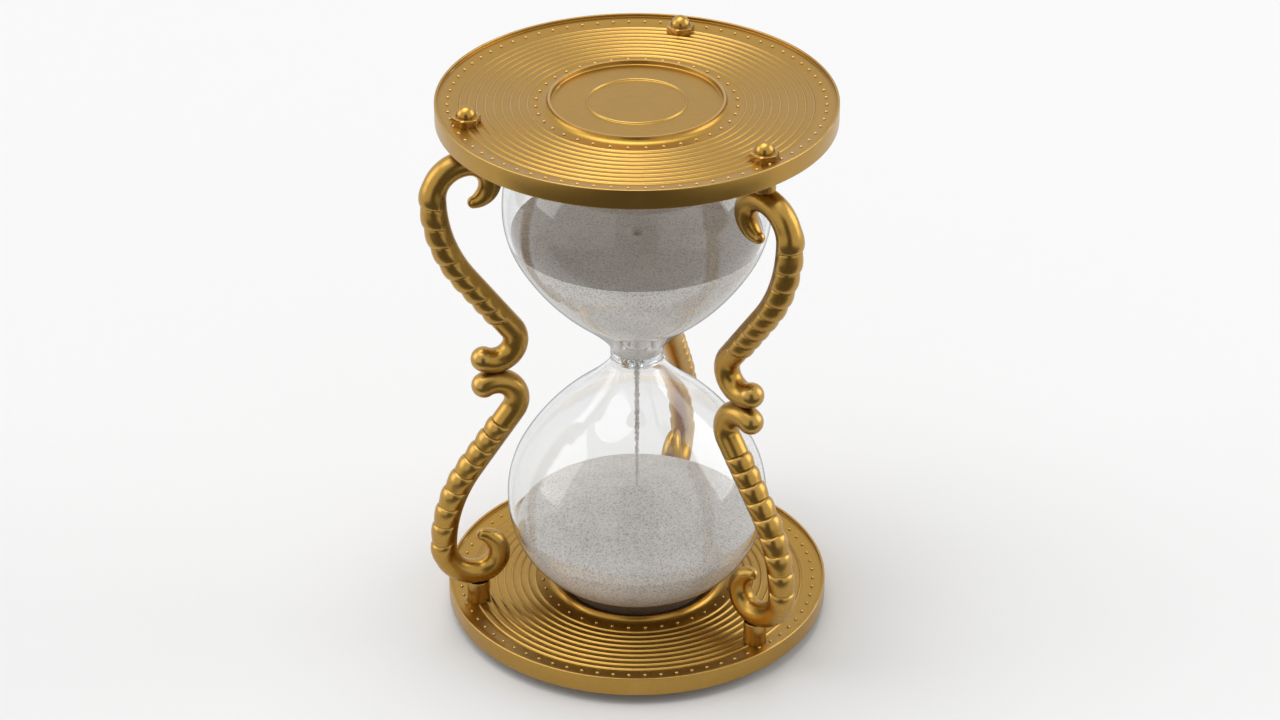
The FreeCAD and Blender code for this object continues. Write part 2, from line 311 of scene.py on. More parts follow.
def bump(radius, width, height, floor, steps=8):
    """A soft ridge's section on a floor, from its inner foot to its outer foot."""
    return [
        Vector((
            radius + width * (i / steps - 0.5),
            floor + height * math.sin(math.pi * i / steps) ** 2,
        ))
        for i in range(steps + 1)
    ]


# ---- Modelling by hand ----

def deselect():
    if bpy.context.mode != "OBJECT":
        bpy.ops.object.mode_set(mode="OBJECT")
    bpy.ops.object.select_all(action="DESELECT")


def only(piece):
    """Makes a piece the only one selected, and active."""
    deselect()
    piece.select_set(True)
    bpy.context.view_layer.objects.active = piece


def named(name):
    piece = bpy.context.active_object
    piece.name = name
    piece.data.name = name
    return piece


def edit(piece):
    only(piece)
    bpy.ops.object.mode_set(mode="EDIT")
    bpy.ops.mesh.select_all(action="SELECT")


def leave():
    bpy.ops.object.mode_set(mode="OBJECT")


def tidy(piece, threshold=0.002 * MM):
    """Merges doubles and turns every face outwards."""
    edit(piece)
    bpy.ops.mesh.remove_doubles(threshold=threshold)
    bpy.ops.mesh.normals_make_consistent(inside=False)
    leave()


def smooth(piece, angle=30):
    only(piece)
    bpy.ops.object.shade_smooth_by_angle(angle=math.radians(angle))


def draw(name, points, closed=False):
    """A wire through points (across, up) in the XZ plane, from one corner of a small plane."""
    deselect()
    bpy.ops.mesh.primitive_plane_add(size=MM)
    piece = named(name)
    edit(piece)
    bpy.ops.mesh.merge(type="CENTER")
    bpy.ops.transform.translate(value=(points[0][0], 0, points[0][1]))
    for start, end in zip(points, points[1:]):
        step = (end[0] - start[0], 0, end[1] - start[1])
        bpy.ops.mesh.extrude_vertices_move(TRANSFORM_OT_translate={"value": step})
    if closed:
        step = (points[0][0] - points[-1][0], 0, points[0][1] - points[-1][1])
        bpy.ops.mesh.extrude_vertices_move(TRANSFORM_OT_translate={"value": step})
    leave()
    return piece


def lathe(name, points, steps, across=0.0, closed=False):
    """Turns an outline about an upright axis, as on a lathe."""
    piece = draw(name, points, closed)
    edit(piece)
    bpy.ops.mesh.spin(steps=steps, angle=2 * math.pi, center=(across, 0, 0), axis=(0, 0, 1))
    leave()
    tidy(piece)
    return piece


def apply_place(piece):
    only(piece)
    bpy.ops.object.transform_apply(location=True, rotation=True, scale=True)


def copy(piece, name, angle=0.0, mirrored=False):
    """A copy with its own mesh, turned about the Z axis, and mirrored about the middle plane."""
    only(piece)
    bpy.ops.object.duplicate(linked=False)
    made = named(name)
    if mirrored:
        made.scale.z = -1
        made.location.z = 2 * MID_HEIGHT
    made.rotation_euler.z = angle
    apply_place(made)
    if mirrored:
        tidy(made)
    return made


def carve(piece, cutters):
    """Cuts tools out of a piece and throws the tools away."""
    for cutter in cutters:
        only(piece)
        cut = piece.modifiers.new("cut", "BOOLEAN")
        cut.operation = "DIFFERENCE"
        cut.solver = "EXACT"
        cut.object = cutter
        bpy.ops.object.modifier_apply(modifier=cut.name)
        bpy.data.objects.remove(cutter)


def drill(name, radius, low, high, across, angle=0.0):
    """A cutting tool: an upright cylinder at a distance across from the axis, turned to an angle."""
    deselect()
    place = Matrix.Rotation(angle, 3, "Z") @ Vector((across, 0, (low + high) / 2))
    bpy.ops.mesh.primitive_cylinder_add(vertices=40, radius=radius, depth=high - low, location=place)
    tool = named(name)
    apply_place(tool)
    return tool


def join(pieces):
    """Joins pieces into the first one."""
    deselect()
    for piece in pieces:
        piece.select_set(True)
    bpy.context.view_layer.objects.active = pieces[0]
    bpy.ops.object.join()
    return pieces[0]


def put_on(piece, node, material):
    """Gives a finished piece its material, puts it on the body it rides on, and hides the part that it
    stands for.
    """
    piece.data.materials.clear()
    piece.data.materials.append(material)
    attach(piece, BODY)
    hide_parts(node)
    return piece


# ---- Materials ----

def add(tree, kind, settings=None, **inputs):
    """Adds a shader node, and sets or links its inputs, named with _ for each space."""
    made = tree.nodes.new("ShaderNode" + kind)
    for key, value in (settings or {}).items():
        setattr(made, key, value)
    for key, value in inputs.items():
        plug(tree, value, made.inputs[key.replace("_", " ")])
    return made


def plug(tree, value, socket):
    if isinstance(value, bpy.types.NodeSocket):
        tree.links.new(value, socket)
    else:
        socket.default_value = value


def calculate(tree, operation, first, second=0.0, clamp=False):
    made = tree.nodes.new("ShaderNodeMath")
    made.operation = operation
    made.use_clamp = clamp
    plug(tree, first, made.inputs[0])
    plug(tree, second, made.inputs[1])
    return made.outputs[0]


def blend(tree, share, first, second, kind="RGBA"):
    """Mixes two colours or two values."""
    made = tree.nodes.new("ShaderNodeMix")
    made.data_type = kind
    plug(tree, share, made.inputs[0])
    base = 6 if kind == "RGBA" else 2
    plug(tree, first, made.inputs[base])
    plug(tree, second, made.inputs[base + 1])
    return made.outputs[2 if kind == "RGBA" else 0]


def remap(tree, value, low, high, to_low=0.0, to_high=1.0):
    made = add(tree, "MapRange", {"clamp": True}, Value=value, From_Min=low, From_Max=high,
               To_Min=to_low, To_Max=to_high)
    return made.outputs["Result"]


def group(name, inputs, outputs):
    """An empty shader node group with named sockets, and its input and output nodes."""
    tree = bpy.data.node_groups.new(name, "ShaderNodeTree")
    for label, kind in inputs.items():
        tree.interface.new_socket(label, in_out="INPUT", socket_type="NodeSocket" + kind)
    for label, kind in outputs.items():
        tree.interface.new_socket(label, in_out="OUTPUT", socket_type="NodeSocket" + kind)
    return tree, tree.nodes.new("NodeGroupInput"), tree.nodes.new("NodeGroupOutput")


def use_group(tree, name, **inputs):
    made = tree.nodes.new("ShaderNodeGroup")
    made.node_tree = bpy.data.node_groups[name]
    for key, value in inputs.items():
        plug(tree, value, made.inputs[key.replace("_", " ")])
    return made


def metal_skin_group():
    """Colour, gloss and grain of worked metal: soft patches, painted shade in recesses and rubbed edges."""
    tree, given, out = group(
        "Metal skin",
        {
            "Clean": "Color", "Shade": "Color", "Rubbed": "Color", "Patchiness": "Float",
            "Recess reach": "Float", "Recess shade": "Float", "Edge wear": "Float",
            "Roughness": "Float", "Grain size": "Float",
        },
        {"Color": "Color", "Roughness": "Float", "Height": "Float"},
    )
    coord = add(tree, "TexCoord").outputs["Object"]
    patches = add(tree, "TexNoise", Vector=coord, Scale=45.0, Detail=3.0, Roughness=0.6).outputs["Fac"]
    mottle = add(tree, "TexNoise", Vector=coord, Scale=420.0, Detail=2.0, Roughness=0.5).outputs["Fac"]
    grain_scale = calculate(tree, "DIVIDE", 1.0, given.outputs["Grain size"])
    grain = add(tree, "TexNoise", Vector=coord, Scale=grain_scale, Detail=2.0, Roughness=0.6).outputs["Fac"]
    # Painted shade: where ambient occlusion finds a recess, the colour is darkened towards Shade.
    hollow = add(tree, "AmbientOcclusion", {"samples": 6}, Distance=given.outputs["Recess reach"])
    closed_in = remap(tree, hollow.outputs["AO"], 0.95, 0.35)
    painted_recess_shade = calculate(tree, "MULTIPLY", closed_in, given.outputs["Recess shade"])
    cloudy = calculate(
        tree, "MULTIPLY", remap(tree, patches, 0.35, 0.75), given.outputs["Patchiness"]
    )
    speckled = calculate(
        tree, "MULTIPLY", remap(tree, mottle, 0.3, 0.75), given.outputs["Patchiness"]
    )
    # Painted shade in recesses, plus random darker patches and specks of the brass's own tone.
    painted_shade_and_patches = calculate(tree, "ADD", calculate(tree, "ADD", painted_recess_shade, cloudy), speckled, clamp=True)
    base = blend(tree, painted_shade_and_patches, given.outputs["Clean"], given.outputs["Shade"])
    point = add(tree, "NewGeometry").outputs["Pointiness"]
    worn = calculate(tree, "MULTIPLY", remap(tree, point, 0.508, 0.56), given.outputs["Edge wear"])
    rubbed = blend(tree, worn, base, given.outputs["Rubbed"])
    grain_share = remap(tree, grain, 0.3, 0.7, 0.93, 1.07)
    tinted = add(tree, "HueSaturation", Color=rubbed, Value=grain_share)
    rough = calculate(tree, "ADD", given.outputs["Roughness"], remap(tree, mottle, 0.3, 0.7, -0.01, 0.02))
    rough = calculate(tree, "ADD", rough, calculate(tree, "MULTIPLY", painted_shade_and_patches, 0.10), clamp=True)
    tree.links.new(tinted.outputs["Color"], out.inputs["Color"])
    tree.links.new(rough, out.inputs["Roughness"])
    tree.links.new(grain, out.inputs["Height"])


def new_material(name):
    material = bpy.data.materials.new(name)
    material.use_nodes = True
    tree = material.node_tree
    tree.nodes.clear()
    return material, tree, tree.nodes.new("ShaderNodeOutputMaterial")


def rgba(value):
    return (*value, 1.0)


def metal(name, clean, shade, rubbed, roughness, grain_size=0.35, grain_depth=0.02, patchiness=0.16,
          recess_reach=2.5, recess_shade=0.8, edge_wear=0.7):
    """A worked metal. Grain size, grain depth and recess reach are in millimetres."""
    material, tree, out = new_material(name)
    skin = use_group(
        tree, "Metal skin", Clean=rgba(clean), Shade=rgba(shade), Rubbed=rgba(rubbed),
        Patchiness=patchiness, Recess_reach=recess_reach * MM, Recess_shade=recess_shade,
        Edge_wear=edge_wear, Roughness=roughness, Grain_size=grain_size * MM,
    )
    grain = add(tree, "Bump", Strength=1.0, Distance=grain_depth * MM, Height=skin.outputs["Height"])
    shader = add(
        tree, "BsdfPrincipled", Base_Color=skin.outputs["Color"], Metallic=1.0,
        Roughness=skin.outputs["Roughness"], Normal=grain.outputs["Normal"],
    )
    tree.links.new(shader.outputs["BSDF"], out.inputs["Surface"])
    return material


# Painted shade for the glass's edges: a dark tint at grazing angles, and a dark diffuse rim for camera
# rays.
PAINTED_EDGE_SHADE = (0.38, 0.39, 0.40, 1.0)
PAINTED_RIM_SHADE = (0.12, 0.125, 0.13, 1.0)
SHADOW_TINT = (0.96, 0.96, 0.96, 1.0)
THICK_TINT = (0.50, 0.53, 0.54, 1.0)


def clear_glass(name, tint, ior=1.47, depth=42.0):
    """Clear glass that lets the lamps' light through, with painted shade at its edges. Depth is how soon a
    thick stretch darkens.
    """
    material, tree, out = new_material(name)
    coord = add(tree, "TexCoord").outputs["Object"]
    ripple = add(tree, "TexNoise", Vector=coord, Scale=38.0, Detail=1.0).outputs["Fac"]
    waves = add(tree, "Bump", Strength=1.0, Distance=0.05 * MM, Height=ripple)
    facing = add(tree, "LayerWeight", Blend=0.5).outputs["Facing"]
    # Painted shade: the glass's colour darkens towards its grazing edges.
    painted_edge_colour = blend(tree, remap(tree, facing, 0.80, 1.0, 0.0, 0.75), rgba(tint), PAINTED_EDGE_SHADE)
    shader = add(
        tree, "BsdfPrincipled", Base_Color=painted_edge_colour, Metallic=0.0, Roughness=0.0, IOR=ior,
        Transmission_Weight=1.0, Normal=waves.outputs["Normal"],
    )
    through = add(tree, "BsdfTransparent", Color=SHADOW_TINT)
    path = add(tree, "LightPath")
    lets_by = calculate(
        tree, "MAXIMUM", path.outputs["Is Shadow Ray"], path.outputs["Is Diffuse Ray"]
    )
    mixed = add(tree, "MixShader")
    tree.links.new(lets_by, mixed.inputs[0])
    tree.links.new(shader.outputs["BSDF"], mixed.inputs[1])
    tree.links.new(through.outputs["BSDF"], mixed.inputs[2])
    # The rim and the edge tint are looks, painted shade: a dark tint at grazing edges and a dark diffuse
    # rim seen only by camera rays stand in for the dark edges that refraction gives blown glass, since
    # plain glass comes out paler at its edges than real blown glass.
    rim = add(tree, "BsdfDiffuse", Color=PAINTED_RIM_SHADE)
    whole = add(tree, "MixShader")
    tree.links.new(calculate(tree, "MULTIPLY", remap(tree, facing, 0.82, 1.0, 0.0, 0.9),
                             path.outputs["Is Camera Ray"]), whole.inputs[0])
    tree.links.new(mixed.outputs["Shader"], whole.inputs[1])
    tree.links.new(rim.outputs["BSDF"], whole.inputs[2])
    tree.links.new(whole.outputs["Shader"], out.inputs["Surface"])
    body = add(tree, "VolumeAbsorption", Color=THICK_TINT, Density=depth)
    tree.links.new(body.outputs["Volume"], out.inputs["Volume"])
    return material


def grains(name, pale, dark):
    """Fine sand: each grain has its own tone, and the surface is rough."""
    material, tree, out = new_material(name)
    coord = add(tree, "TexCoord").outputs["Object"]
    cells = add(tree, "TexVoronoi", {"feature": "F1"}, Vector=coord, Scale=3300.0)
    tone = add(tree, "SeparateColor", Color=cells.outputs["Color"]).outputs["Red"]
    drift = add(tree, "TexNoise", Vector=coord, Scale=90.0, Detail=3.0).outputs["Fac"]
    share = remap(tree, tone, 0.6, 1.0, 0.0, 0.75)
    share = calculate(tree, "ADD", share, remap(tree, drift, 0.35, 0.75, 0.0, 0.14), clamp=True)
    mixed = blend(tree, share, rgba(pale), rgba(dark))
    lumps = add(tree, "TexNoise", Vector=coord, Scale=700.0, Detail=2.0).outputs["Fac"]
    height = calculate(tree, "ADD", cells.outputs["Distance"], calculate(tree, "MULTIPLY", lumps, 2.0))
    rough = add(tree, "Bump", Strength=0.8, Distance=0.12 * MM, Height=height)
    shader = add(
        tree, "BsdfPrincipled", Base_Color=mixed, Roughness=0.9, Specular_IOR_Level=0.25,
        Normal=rough.outputs["Normal"],
    )
    tree.links.new(shader.outputs["BSDF"], out.inputs["Surface"])
    return material


def felt(name, tone):
    """Pressed felt: short tangled fibres."""
    material, tree, out = new_material(name)
    coord = add(tree, "TexCoord").outputs["Object"]
    fibre = add(tree, "TexNoise", Vector=coord, Scale=1800.0, Detail=4.0, Roughness=0.7, Distortion=1.5)
    lighter = tuple(min(1.0, 2.2 * c) for c in tone)
    mixed = blend(tree, remap(tree, fibre.outputs["Fac"], 0.35, 0.7), rgba(tone), rgba(lighter))
    fuzz = add(tree, "Bump", Strength=0.8, Distance=0.15 * MM, Height=fibre.outputs["Fac"])
    shader = add(
        tree, "BsdfPrincipled", Base_Color=mixed, Roughness=0.95, Sheen_Weight=0.3,
        Normal=fuzz.outputs["Normal"],
    )
    tree.links.new(shader.outputs["BSDF"], out.inputs["Surface"])
    return material


def plain_floor(name, tone, glow=0.02):
    """A plain floor whose brightness is lifted a little where it is seen, but not as a light."""
    material, tree, out = new_material(name)
    path = add(tree, "LightPath")
    seen = calculate(tree, "MAXIMUM", path.outputs["Is Camera Ray"], path.outputs["Is Glossy Ray"])
    seen = calculate(tree, "MAXIMUM", seen, path.outputs["Is Transmission Ray"])
    shader = add(
        tree, "BsdfPrincipled", Base_Color=rgba(tone), Roughness=0.9, Specular_IOR_Level=0.0,
        Emission_Color=rgba((1.0, 1.0, 1.0)), Emission_Strength=calculate(tree, "MULTIPLY", seen, glow),
    )
    tree.links.new(shader.outputs["BSDF"], out.inputs["Surface"])
    return material


# ---- Plates ----

def face_outline(p):
    """One face's outline, from the pan's middle out to the rim's lip, with heights from the rim's crest."""
    pan, face = -p.pan_depth, -p.recess
    points = level_run(0, p.thin_ring_radius - p.thin_ring_width, pan, 8)
    points += bump(p.thin_ring_radius, p.thin_ring_width, p.thin_ring_height, pan)
    points += level_run(p.thin_ring_radius + p.thin_ring_width, p.ring_inner - 3 * p.pan_corner, pan, 5)
    points += rounded([
        (p.ring_inner - 2 * p.pan_corner, pan, 0),
        (p.ring_inner - 0.3 * p.pan_corner, pan, p.pan_corner),
        (p.ring_inner, 0, 0.18 * MM),
        (p.ring_outer, 0, 0),
    ])[:-1]
    rise = p.recess
    points += curve_points(
        (p.ring_outer, 0), (p.ring_outer + 0.1 * p.ring_flare, face + 0.1 * rise),
        (p.ring_outer + p.ring_flare, face), 8,
    )
    for i in reversed(range(p.ridge_count)):
        points += bump(p.ridge_radius - i * p.ridge_pitch, p.ridge_width, p.ridge_height, face)
    wall = p.radius - p.rim_width
    band = face + p.band_rise
    points += rounded([
        (p.band_start, face, 0),
        (p.band_end, band, 0.8 * MM),
        (wall, band, 0.2 * MM),
        (wall, 0, p.lip_round),
        (p.radius, 0, p.rim_round),
        (p.radius, -PLATE_MIDDLE, 0),
    ])[:-1]
    return points


PLATE_MIDDLE = (PLATE_HIGH.z - PLATE_LOW.z) / 2


def bead_row(name, circle, beads, level, upwards, p):
    """A row of small domes on a face, one modelled and spun round the axis."""
    deselect()
    bpy.ops.mesh.primitive_uv_sphere_add(segments=8, ring_count=6, radius=p.bead_radius)
    row = named(name)
    row.scale.z = p.bead_height / p.bead_radius
    half_step = math.pi / beads
    row.location = (circle * math.cos(half_step), circle * math.sin(half_step), level)
    apply_place(row)
    edit(row)
    sunk = 0.12 * MM
    bpy.ops.mesh.bisect(
        plane_co=(0, 0, level - sunk if upwards else level + sunk), plane_no=(0, 0, 1),
        use_fill=True, clear_inner=upwards, clear_outer=not upwards,
    )
    bpy.ops.mesh.select_all(action="SELECT")
    bpy.ops.mesh.spin(
        steps=beads - 1, angle=2 * math.pi * (beads - 1) / beads, dupli=True,
        center=(0, 0, 0), axis=(0, 0, 1),
    )
    leave()
    return row


class HOURGLASS_OT_plates(bpy.types.Operator):
    """Turn the two plates, drill them for the studs and set their beads"""

    bl_idname = "hourglass.plates"
    bl_label = "Plates"

    def execute(self, context):
        p = context.scene.hourglass_plates
        c = context.scene.hourglass_columns
        n = context.scene.hourglass_nuts
        low, high = PLATE_LOW.z, PLATE_HIGH.z
        face = face_outline(p)
        outline = [Vector((r, high + depth)) for r, depth in face]
        outline += [Vector((r, low - depth)) for r, depth in reversed(face)]
        plate = lathe("plate_base", outline, 200)
        under_nut, under_post = n.across_flats / 2, c.post_radius + c.bore_gap
        for angle in COLUMN_ANGLES:
            carve(plate, [
                drill("stud hole", c.stud_radius + 0.15 * MM, low - MM, high + MM, COLUMN_RADIUS, angle),
                drill("spot face", under_post, high - p.recess, high + MM, COLUMN_RADIUS, angle),
                drill("spot face", under_nut, low - MM, low + p.recess, COLUMN_RADIUS, angle),
            ])
        parts = [plate]
        outer = p.band_rise * (p.outer_bead_circle - p.band_start) / (p.band_end - p.band_start)
        for upwards, rim, out in ((True, high, 1), (False, low, -1)):
            for circle, beads, rise in (
                (p.outer_bead_circle, p.outer_beads, outer), (p.inner_bead_circle, p.inner_beads, 0)
            ):
                level = rim + out * (rise - p.recess)
                parts.append(bead_row("beads", circle, beads, level, upwards, p))
        plate = join(parts)
        tidy(plate)
        smooth(plate, 35)
        top = copy(plate, "plate_top", mirrored=True)
        smooth(top, 35)
        brass = bpy.data.materials["Turned brass"]
        put_on(plate, "base_plate", brass)
        put_on(top, "top_plate", brass)
        return {"FINISHED"}


# ---- Scrolls ----

HOOK_RINGS = 46
RUN_RINGS = 64
BODY_RINGS = 84
CURL_RINGS = 40
INNER_CURL_RINGS = 44
RING_POINTS = 40
CAP_RINGS = 7


class ScrollPath:
    """The lower scroll's centreline in the XZ plane, measured from the hook's tip to the curl's tip."""

    def __init__(self, c, recess):
        seat = PLATE_HIGH.z - recess + c.seat_above_face
        bottom = seat + c.tube_radius - c.seat_cut
        self.curl = Vector((COLUMN_RADIUS, bottom + c.curl_radius))
        self.inner = Vector((COLUMN_RADIUS, bottom + c.inner_curl_radius))
        self.body = Vector((COLUMN_RADIUS + c.curl_radius - c.body_radius, self.curl.y))
        self.hook = Vector((
            COLUMN_RADIUS - c.hook_inset, MID_HEIGHT - c.hook_radius - c.tube_radius + c.hook_flat
        ))
        between = self.hook - self.body
        lean = math.atan2(between.y, between.x)
        self.tangent = lean - math.acos((c.body_radius + c.hook_radius) / between.length)
        self.seat = seat
        self.c = c
        self.hook_turn = math.pi + self.tangent - c.hook_tip
        run_start = on_arc(self.hook, c.hook_radius, math.pi + self.tangent)
        self.run_end = on_arc(self.body, c.body_radius, self.tangent)
        self.run = self.run_end - run_start
        self.run_start = run_start
        self.lengths = [
            c.hook_radius * self.hook_turn, self.run.length, c.body_radius * self.tangent,
            c.curl_radius * math.pi / 2, c.inner_curl_radius * c.inner_curl_turn,
        ]
        self.ends = [sum(self.lengths[:i + 1]) for i in range(5)]

    def at(self, travelled):
        """The centre, the heading's angle and the bar's radius at a distance from the hook's tip."""
        c = self.c
        hook_end, run_end, body_end, curl_end, tip = self.ends
        if travelled <= hook_end:
            angle = c.hook_tip + travelled / c.hook_radius
            return on_arc(self.hook, c.hook_radius, angle), angle + math.pi / 2, c.tube_radius
        if travelled <= run_end:
            centre = self.run_start + self.run * ((travelled - hook_end) / self.run.length)
            return centre, math.pi * 1.5 + self.tangent, c.tube_radius
        if travelled <= body_end:
            angle = self.tangent - (travelled - run_end) / c.body_radius
            return on_arc(self.body, c.body_radius, angle), angle - math.pi / 2, c.tube_radius
        share = (travelled - body_end) / (tip - body_end)
        radius = c.tip_radius + (c.tube_radius - c.tip_radius) * (1 - share ** c.taper_power)
        if travelled <= curl_end:
            angle = -(travelled - body_end) / c.curl_radius
            return on_arc(self.curl, c.curl_radius, angle), angle - math.pi / 2, radius
        angle = -math.pi / 2 - (travelled - curl_end) / c.inner_curl_radius
        return on_arc(self.inner, c.inner_curl_radius, angle), angle - math.pi / 2, radius


def scale_joints(c):
    """Distances from the body's upright end to each lip, and to the first scale's start."""
    sizes = [
        c.first_scale + (c.last_scale - c.first_scale) * i / (c.scales - 1) for i in range(c.scales)
    ]
    stretch = (c.last_joint - c.first_joint) / sum(sizes[1:])
    joints = [c.first_joint - sizes[0]]
    for i, size in enumerate(sizes):
        joints.append(joints[-1] + (size if i == 0 else size * stretch))
    return joints


def scale_rise(distance, joints, c):
    """How far the bar swells at a distance from the body's upright end, towards the hook."""
    shallow = 0.035
    if distance < joints[0]:
        return 0.0
    for number, (start, end) in enumerate(zip(joints, joints[1:])):
        if distance <= end:
            share = (distance - start) / (end - start)
            swell = c.scale_lip * (1 - abs(2 * share ** c.scale_lean - 1) ** 2.4)
            low = 1 - share if number == 0 else min(share, 1 - share)
            return swell - c.scale_groove * math.exp(-((low / shallow) ** 2))
    past = (distance - joints[-1]) / (joints[-1] - joints[-2])
    return -c.scale_groove * math.exp(-((past / shallow) ** 2))


SCALE_MARKS = (0.0, 0.03, 0.07, 0.13, 0.21, 0.31, 0.42, 0.53, 0.64, 0.74, 0.82, 0.885, 0.935, 0.97)


def body_stations(path, joints):
    """Distances from the hook's tip of the run's and body's rings, close together at each joint."""
    hook_end, body_end = path.ends[0], path.ends[2]
    least = 0.3 * MM
    scaled = [
        body_end - (start + (end - start) * share)
        for start, end in zip(joints, joints[1:]) for share in SCALE_MARKS
        if start + (end - start) * share > least
    ]
    scaled.append(body_end - joints[-1])
    plain = RUN_RINGS + BODY_RINGS - len(scaled) - 1
    left = hook_end + 0.4 * MM
    right = body_end - joints[-1] - 0.15 * MM
    rest = [left + (right - left) * i / (plain - 1) for i in range(plain)]
    return sorted(scaled + rest) + [body_end]


def build_scroll(c, recess):
    """The lower scroll in the XZ plane: a bar spun through its arcs, closed, tapered and chased."""
    path = ScrollPath(c, recess)
    start, heading, radius = path.at(0)
    deselect()
    bpy.ops.mesh.primitive_circle_add(
        vertices=RING_POINTS, radius=radius, fill_type="NOTHING", location=(start.x, 0, start.y),
        rotation=(0, math.pi / 2 - heading, 0),
    )
    scroll = named("scroll")
    apply_place(scroll)
    edit(scroll)
    spin = bpy.ops.mesh.spin
    across = (0, 1, 0)
    spin(steps=HOOK_RINGS, angle=path.hook_turn, center=(path.hook.x, 0, path.hook.y), axis=across)
    step = path.run / RUN_RINGS
    for _ in range(RUN_RINGS):
        bpy.ops.mesh.extrude_region_move(TRANSFORM_OT_translate={"value": (step.x, 0, step.y)})
    for centre, rings, angle in (
        (path.body, BODY_RINGS, path.tangent), (path.curl, CURL_RINGS, math.pi / 2),
        (path.inner, INNER_CURL_RINGS, c.inner_curl_turn),
    ):
        spin(steps=rings, angle=-angle, center=(centre.x, 0, centre.y), axis=across)
    leave()
    chase_scroll(scroll, path, c)
    close_end(scroll, path, path.ends[-1], 1)
    close_end(scroll, path, 0, -1)
    tidy(scroll)
    return scroll, path


def chase_scroll(scroll, path, c):
    """Tapers the curl and raises the scales, ring by ring."""
    hook_end, body_end, curl_end, tip = path.ends[0], *path.ends[2:]
    joints = scale_joints(c)
    stations = [hook_end * i / HOOK_RINGS for i in range(HOOK_RINGS + 1)]
    stations += body_stations(path, joints)
    stations += [body_end + (curl_end - body_end) * (i + 1) / CURL_RINGS for i in range(CURL_RINGS)]
    stations += [
        curl_end + (tip - curl_end) * (i + 1) / INNER_CURL_RINGS for i in range(INNER_CURL_RINGS)
    ]
    points = scroll.data.vertices
    if len(points) != len(stations) * RING_POINTS:
        raise RuntimeError("the scroll's rings don't match its stations")
    scales_from, scales_to = body_end - joints[-1], body_end - joints[0]
    for ring, travelled in enumerate(stations):
        rise = scale_rise(body_end - travelled, joints, c)
        run_on = c.scale_hook * edge_share(travelled, scales_from, scales_to)
        for i in range(RING_POINTS):
            around = 2 * math.pi * (i + 0.5) / RING_POINTS - math.pi
            lag = run_on * hook_share(abs(around), c)
            place, heading, radius = path.at(travelled - lag)
            size = radius + rise * fade(abs(around), c.scale_cover, c.scale_fade)
            out = Vector((math.cos(heading + math.pi / 2), 0, math.sin(heading + math.pi / 2)))
            offset = out * (size * math.cos(around)) + Vector((0, size * math.sin(around), 0))
            points[ring * RING_POINTS + i].co = Vector((place.x, 0, place.y)) + offset


def fade(angle, cover, width):
    """1 inside the cover, 0 outside, with a soft edge."""
    share = min(1.0, max(0.0, (cover + width / 2 - angle) / width))
    return share * share * (3 - 2 * share)


def hook_share(angle, c):
    """How far round towards the plain strip a point is, for the run-on of each lip's ends."""
    share = min(1.0, max(0.0, angle / c.scale_cover))
    return share ** 4 * fade(angle, c.scale_cover + 0.5, 1.0)


def edge_share(travelled, start, end):
    """Fades the run-on out at both ends of the scales."""
    margin = 3 * MM
    return min(1.0, max(0.0, (travelled - start + margin) / margin), max(0.0, (end - travelled) / margin))


def close_end(scroll, path, travelled, direction):
    """Closes one end of the bar with a round cap."""
    centre, heading, radius = path.at(travelled)
    along = Vector((math.cos(heading), 0, math.sin(heading))) * direction
    middle = Vector((centre.x, 0, centre.y))
    only(scroll)
    bpy.ops.object.mode_set(mode="EDIT")
    bpy.ops.mesh.select_all(action="DESELECT")
    bpy.ops.object.mode_set(mode="OBJECT")
    for vertex in scroll.data.vertices:
        away = vertex.co - middle
        vertex.select = abs(away.dot(along)) < 0.01 * MM and away.length < radius * 1.02
    bpy.ops.object.mode_set(mode="EDIT")
    size = radius
    reached = 0.0
    for i in range(1, CAP_RINGS + 1):
        angle = math.pi / 2 * i / CAP_RINGS
        step = radius * math.sin(angle) - reached
        reached += step
        bpy.ops.mesh.extrude_region_move(TRANSFORM_OT_translate={"value": along * step})
        if i == CAP_RINGS:
            bpy.ops.mesh.merge(type="CENTER")
            break
        share = radius * math.cos(angle) / size
        size *= share
        bpy.ops.transform.resize(value=(share,) * 3, center_override=middle + along * reached)
    leave()


class HOURGLASS_OT_scrolls(bpy.types.Operator):
    """Bend, taper and chase one scroll, then copy it to the other five places"""

    bl_idname = "hourglass.scrolls"
    bl_label = "Scrolls"

    def execute(self, context):
        c = context.scene.hourglass_columns
        scroll, path = build_scroll(c, context.scene.hourglass_plates.recess)
        reach = 2 * c.tube_radius
        pin = c.spigot_radius + c.bore_gap
        hooks_meet = COLUMN_RADIUS - c.hook_inset
        carve(scroll, [
            drill("seat", c.post_radius, path.seat - reach, path.seat, COLUMN_RADIUS),
            drill("spigot bore", pin, path.seat - MM, POST_HIGH.z, COLUMN_RADIUS),
            drill("meeting flat", reach, MID_HEIGHT, MID_HEIGHT + reach, hooks_meet),
            drill("dowel bore", c.dowel_radius + c.bore_gap, MID_HEIGHT - c.dowel_length / 2,
                  MID_HEIGHT + MM, hooks_meet),
        ])
        brass = bpy.data.materials["Cast brass"]
        for half, mirrored in (("lower", False), ("upper", True)):
            for number, angle in enumerate(COLUMN_ANGLES, start=1):
                made = copy(scroll, f"scroll_{half}_{number}", angle, mirrored)
                smooth(made, 40)
                put_on(made, f"{half}_scroll_{number}", brass)
        bpy.data.objects.remove(scroll)
        return {"FINISHED"}


